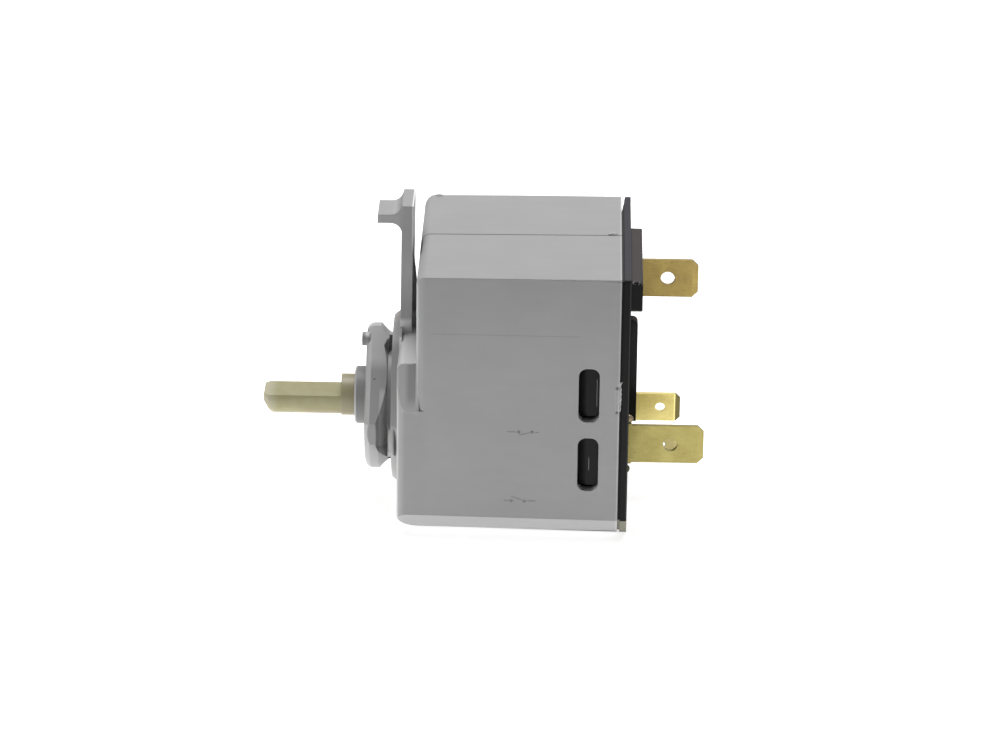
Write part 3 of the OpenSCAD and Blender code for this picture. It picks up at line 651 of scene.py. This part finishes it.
CURLS = {
    "rim_curl_upper": [
        (36.4, NEAR_Y + 0.17, 10.1), (36.6, NEAR_Y + 0.16, 10.4), (36.8, NEAR_Y + 0.17, 10.65),
        (37.05, NEAR_Y + 0.2, 10.85), (37.15, NEAR_Y + 0.3, 10.65),
    ],
    "rim_curl_lower": [
        (36.1, NEAR_Y + 0.17, 6.05), (36.3, NEAR_Y + 0.16, 6.25), (36.55, NEAR_Y + 0.16, 6.2),
        (36.72, NEAR_Y + 0.17, 5.95), (36.7, NEAR_Y + 0.2, 5.7),
    ],
    "seam_curl": [
        (34.4, 0.95, 28.12), (34.7, 0.95, 28.22), (35.1, 1.0, 28.3), (35.6, 1.05, 28.28), (36.0, 1.1, 28.18),
    ],
}
for name, path in CURLS.items():
    make_piece(name, thread_mesh(path, (0.05, 0.12, 0.14, 0.1, 0.03)), FLASH)

# %% [markdown]
# ## Contact symbols on the side
# The near side carries two plain circuit symbols of an open contact, the kind that any such
# switch may carry: a lead, a dot, a lever, a dot and a lead. Each symbol is one flat mesh,
# a hundredth of a millimetre proud, that leans with the drafted side. A mesh stays sharp
# from close by, and it is still there in an export without textures.

# %% Symbols
DRAFT = math.tan(math.radians(0.5))
PROUD = 0.012


def on_side(x, z, lift):
    return Vector((x, NEAR_Y + (RIM_X - x) * DRAFT - lift, z)) * MM


def raised_outline(bm, outline):
    """A thin plate on the near side over an outline of [x, z] points."""
    back = [bm.verts.new(on_side(x, z, -0.05)) for x, z in outline]
    front = [bm.verts.new(on_side(x, z, PROUD)) for x, z in outline]
    bm.faces.new(back)
    bm.faces.new(front[::-1])
    for i in range(len(outline)):
        j = (i + 1) % len(outline)
        bm.faces.new((back[i], front[i], front[j], back[j]))


def line_outline(x0, z0, x1, z1, width):
    along = Vector((x1 - x0, z1 - z0)).normalized() * width / 2
    across = Vector((-along.y, along.x))
    ends = [Vector((x0, z0)) - along, Vector((x1, z1)) + along]
    return [ends[0] + across, ends[1] + across, ends[1] - across, ends[0] - across]


def dot_outline(x, z, radius, sides=20):
    return [
        (x + radius * math.cos(math.tau * k / sides), z + radius * math.sin(math.tau * k / sides))
        for k in range(sides)
    ]


def contact_symbol(name, xs, z, lever, finish):
    """A lead, a dot, a lever below or above, a dot and a lead; xs are their ends and centres."""
    bm = bmesh.new()
    width, dot = 0.16, 0.29
    start, left, right, end = xs
    raised_outline(bm, line_outline(start, z, left - dot * 1.4, z, width))
    raised_outline(bm, dot_outline(left, z, dot))
    raised_outline(bm, line_outline(left + 0.1, z + lever, right - 0.4, z + lever * 0.2, width))
    raised_outline(bm, dot_outline(right, z, dot))
    raised_outline(bm, line_outline(right + dot * 1.4, z, end, z, width))
    return make_piece(name, bm, finish)


def faded_print():
    f = Finish("faded_print", IOR=1.5, Specular_IOR_Level=0.35)
    worn = f.noise(0.5, 4.0).smooth(0.3, 0.7)
    colour = f.blend(grey(0.15), grey(0.28), worn)
    return f.wear(colour, 0.5 + worn * 0.1, worn, depth=0.004)


PRINT = faded_print()
contact_symbol("symbol_upper", (18.9, 20.7, 22.8, 23.8), 2.0, -0.5, PRINT)
contact_symbol("symbol_lower", (18.5, 19.6, 21.7, 23.5), -9.9, 0.7, PRINT)

# %% [markdown]
# ## A gate mark, a stop and two stakes
# The melt entered the mould at the far top edge, and breaking off the runner left a low
# stub there that breaks the outline. In front, a rounded stop stands on the near rim of the
# seat. Behind, the near tab is held by two stakes, whose tarnished ends stand out of the
# base just above and below it. All four are domes: rings of points whose edge is uneven,
# and whose height falls off like part of a ball.

# %% Domes
def dome_mesh(centre, out, along, reach, height, seed):
    """An uneven dome on a plane; reach is how far it goes along, and square to that."""
    rolls = random.Random(seed)
    out, along = Vector(out), Vector(along)
    across = out.cross(along)
    sides, rings = 24, 7
    edge = [1 + rolls.uniform(-0.07, 0.07) for _ in range(sides)]
    bm = bmesh.new()
    rows = []
    for i in range(rings):
        share = math.cos(math.pi / 2 * i / rings)
        lift = height * math.sin(math.pi / 2 * i / rings) - (0.04 if i == 0 else 0)
        row = []
        for k in range(sides):
            turn = math.tau * k / sides
            point = Vector(centre) + out * lift
            point += along * (math.cos(turn) * share * edge[k] * reach[0])
            point += across * (math.sin(turn) * share * edge[k] * reach[1])
            row.append(bm.verts.new(point * MM))
        rows.append(row)
    top = bm.verts.new((Vector(centre) + out * height) * MM)
    for low, high in zip(rows, rows[1:]):
        for k in range(sides):
            nxt = (k + 1) % sides
            bm.faces.new((low[k], low[nxt], high[nxt], high[k]))
    for k in range(sides):
        bm.faces.new((rows[-1][k], rows[-1][(k + 1) % sides], top))
    bm.faces.new(rows[0][::-1])
    for face in bm.faces:
        face.smooth = len(face.verts) <= 4
    return bm


STAKE = drawn_metal("stake_brass", (0.3, 0.24, 0.16, 1), (0.1, 0.085, 0.035, 1), NO_LINES, 0.3)
# Painted shade: the lower stake is a darker, olive copy of the stake brass, for the shadow below the tab.
SHADED_STAKE = drawn_metal("stake_brass_painted_shade", (0.09, 0.1, 0.05, 1), (0.05, 0.055, 0.03, 1), NO_LINES, 0.35)


def worn_grey():
    f = Finish("worn_grey", IOR=1.5, Specular_IOR_Level=0.45)
    clouds = f.noise(0.8, 3.0)
    return f.wear(f.blend(grey(0.3), grey(0.42), clouds), 0.45 + clouds * 0.1, clouds, depth=0.01)


WORN_GREY = worn_grey()
TAB_Y, TAB_Z, TAB_HALF = -11.5, -2.9, 3.175
gate = dome_mesh((6.6, 19.0, 27.6), (0, 0, 1), (1, 0, 0), (0.85, 0.5), 0.5, 3)
make_piece("gate_mark", gate, FINISHES["grey_nylon"])
stop = dome_mesh((0.6, -12.9, -2.7), (-1, 0, 0), (0, 0, 1), (2.8, 1.3), 1.0, 4)
make_piece("seat_stop", stop, WORN_GREY)
upper = dome_mesh((PLATE_X, TAB_Y, 1.3), (1, 0, 0), (0, 0, 1), (0.72, 0.45), 0.85, 5)
make_piece("stake_upper", upper, STAKE)
lower = dome_mesh((PLATE_X, TAB_Y, -7.4), (1, 0, 0), (0, 0, 1), (0.62, 0.4), 0.45, 9)
make_piece("stake_lower", lower, SHADED_STAKE)

# %% [markdown]
# ## Shoulders of the near tab
# Where the near tab leaves the base it is a little wider, so that it can't be pushed in:
# a low shoulder above and one below, each with a slope. They are as thick as the tab and
# are extruded from two short outlines.

# %% Shoulders
def slab_mesh(outlines, low_y, high_y):
    """Plates between two y planes, one for each outline of [x, z] points."""
    bm = bmesh.new()
    for outline in outlines:
        near_side = [bm.verts.new(Vector((x, low_y, z)) * MM) for x, z in outline]
        far_side = [bm.verts.new(Vector((x, high_y, z)) * MM) for x, z in outline]
        bm.faces.new(near_side)
        bm.faces.new(far_side[::-1])
        for i in range(len(outline)):
            j = (i + 1) % len(outline)
            bm.faces.new((near_side[i], far_side[i], far_side[j], near_side[j]))
    return bm


SHOULDER, SUNK, HALF_THICK = 0.27, 0.3, 0.39
steps_out = [(0, -SUNK), (0, SHOULDER), (0.5, SHOULDER), (0.95, -SUNK)]
shoulders = []
for side in (-1, 1):
    shoulders.append([(PLATE_X + x, TAB_Z + side * (TAB_HALF + z)) for x, z in steps_out])
plates = slab_mesh(shoulders, TAB_Y - HALF_THICK, TAB_Y + HALF_THICK)
make_piece("tab_shoulders", plates, FINISHES["brass"])

# %% [markdown]
# ## The return spring
# Pushing the shaft in shortens the spring behind it. A solid can't do that; here a coil with
# the same ends, turns and wire stands for it, its rear end resting on the base. The path is a
# helix, and rings of points follow it.

# %% The return spring
END_CLOSING = 0.0152


def coil_mesh(low_x, high_x, radius, wire, turns, steps=24, sides=8):
    """A closed helix of wire along x; the end turns lie a little closer together."""
    bm = bmesh.new()
    rings = []
    count = turns * steps
    for i in range(count + 1):
        turn = math.tau * i / steps
        share = i / count
        share -= END_CLOSING * math.sin(math.tau * share)
        middle = low_x + wire + (high_x - low_x - 2 * wire) * share
        ring = []
        for k in range(sides):
            around = math.tau * k / sides
            out = radius + wire * math.cos(around)
            place = (middle + wire * math.sin(around), out * math.cos(turn), out * math.sin(turn))
            ring.append(bm.verts.new(Vector(place) * MM))
        rings.append(ring)
    for first, second in zip(rings, rings[1:]):
        for k in range(sides):
            nxt = (k + 1) % sides
            bm.faces.new((first[k], first[nxt], second[nxt], second[k])).smooth = True
    bm.faces.new(rings[0][::-1])
    bm.faces.new(rings[-1])
    return bm


spring_low, spring_high = [corner[0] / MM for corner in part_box("return_spring")]
COIL_RADIUS, WIRE_RADIUS, TURNS = 3.7, 0.35, 8
coil_bm = coil_mesh(spring_low, spring_high, COIL_RADIUS, WIRE_RADIUS, TURNS)
coil = make_piece("return_coil", coil_bm, FINISHES["spring_steel"])
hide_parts("return_spring")
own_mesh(coil)

# %% [markdown]
# ## Light and floor
# The photograph looks taken on a white light table: a soft box above and a little behind, a
# weak one at the left, and light that comes back up from below, which makes the bevel along
# the bottom the palest part of the side. The lamps' powers were chosen so that top, side and
# bevel keep the photograph's tones. The floor's own colour keeps the shadow; what the camera
# sees of it is lifted towards white with the Light Path node, so no extra light falls on the
# switch for a white background.

# %% Lamps, world and floor
def softbox(name, place, target, width, height, power):
    lamp = bpy.data.lights.new(name, "AREA")
    lamp.shape = "RECTANGLE"
    lamp.size = width
    lamp.size_y = height
    lamp.energy = power
    box = bpy.data.objects.new(name, lamp)
    scene.collection.objects.link(box)
    box.location = place
    box.rotation_euler = (Vector(target) - Vector(place)).to_track_quat("-Z", "Y").to_euler()
    return box


TABLE = cad_box[0][2]
softbox("top_light", (0.02, 0.16, 0.62), (0.015, 0, 0), 0.55, 0.4, 4.6)
softbox("left_light", (-0.6, -0.32, 0.22), (0.01, 0, 0), 0.35, 0.45, 0.8)
table_light = softbox("table_light", (0.015, 0, TABLE), (0.015, 0.0001, 1), 0.22, 0.22, 0.15)
table_light.visible_camera = False

world = bpy.data.worlds.new("tent")
scene.world = world
tent = Graph(world)
rays = tent.node("ShaderNodeLightPath", out="Is Camera Ray")
mirrored = Wire(tent, rays.socket.node.outputs["Is Glossy Ray"])
through = Wire(tent, rays.socket.node.outputs["Is Transmission Ray"])
sky = tent.tree.nodes["Background"]
sky.inputs["Color"].default_value = grey(1.0)
tent.feed(sky.inputs["Strength"], 0.02 + rays * 0.98 + (mirrored + through) * 0.73)

floor_mesh = bpy.data.meshes.new("floor")
half, level = 2.5, TABLE - 0.00002
floor_mesh.from_pydata(
    [(-half, -half, level), (half, -half, level), (half, half, level), (-half, half, level)],
    [],
    [(0, 1, 2, 3)],
)
floor = bpy.data.objects.new("floor", floor_mesh)
scene.collection.objects.link(floor)
paper = Finish("floor_paper", Roughness=0.9, Specular_IOR_Level=0.1, Emission_Strength=0.72)
paper.feed(paper.shader.inputs["Base Color"], grey(0.86))
seen = paper.node("ShaderNodeLightPath", out="Is Camera Ray")
paper.feed(paper.shader.inputs["Emission Color"], paper.blend(grey(0.0), grey(1.0), seen))
floor_mesh.materials.append(paper.material)
print("floor at", round(level / MM, 2), "mm")
